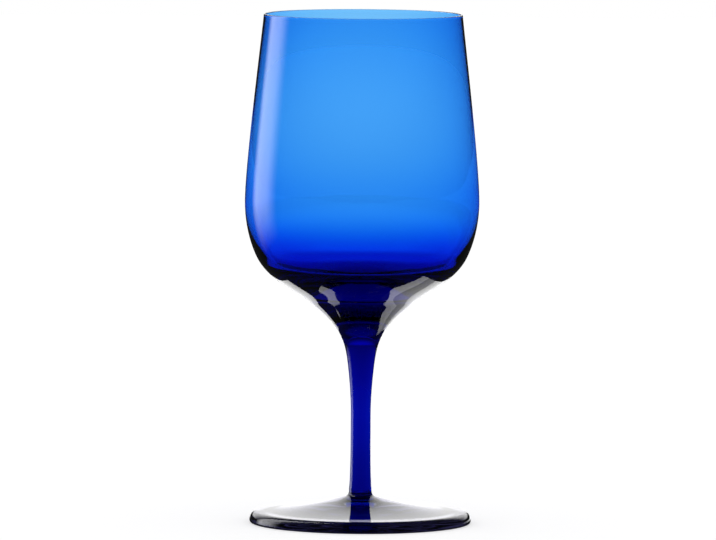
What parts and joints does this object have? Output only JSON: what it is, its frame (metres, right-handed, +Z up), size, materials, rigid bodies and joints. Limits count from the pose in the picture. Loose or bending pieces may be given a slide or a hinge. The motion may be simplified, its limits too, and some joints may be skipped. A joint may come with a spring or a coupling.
{
  "type": "water goblet",
  "caption": "Stemmed drinking glass with a tall tapered blue bowl on a solid blue flare, a slender blue stem and a clear round foot, for water or wine.",
  "frame": {"origin": "middle of the foot's underside, on the table", "axes": "+Z up along the axis of the goblet; the goblet is round, so X and Y are any two level directions"},
  "size_m": [0.0926, 0.0926, 0.2014],
  "materials": {
    "bowl_blue_glass": "fire-polished transparent cobalt-blue glass",
    "stem_blue_glass": "fire-polished transparent deep cobalt-blue glass",
    "clear_glass": "fire-polished colourless glass"
  },
  "bodies": {
    "root": {"bowl": "bowl_blue_glass", "stem": "stem_blue_glass", "foot": "clear_glass"}
  },
  "joints": []
}
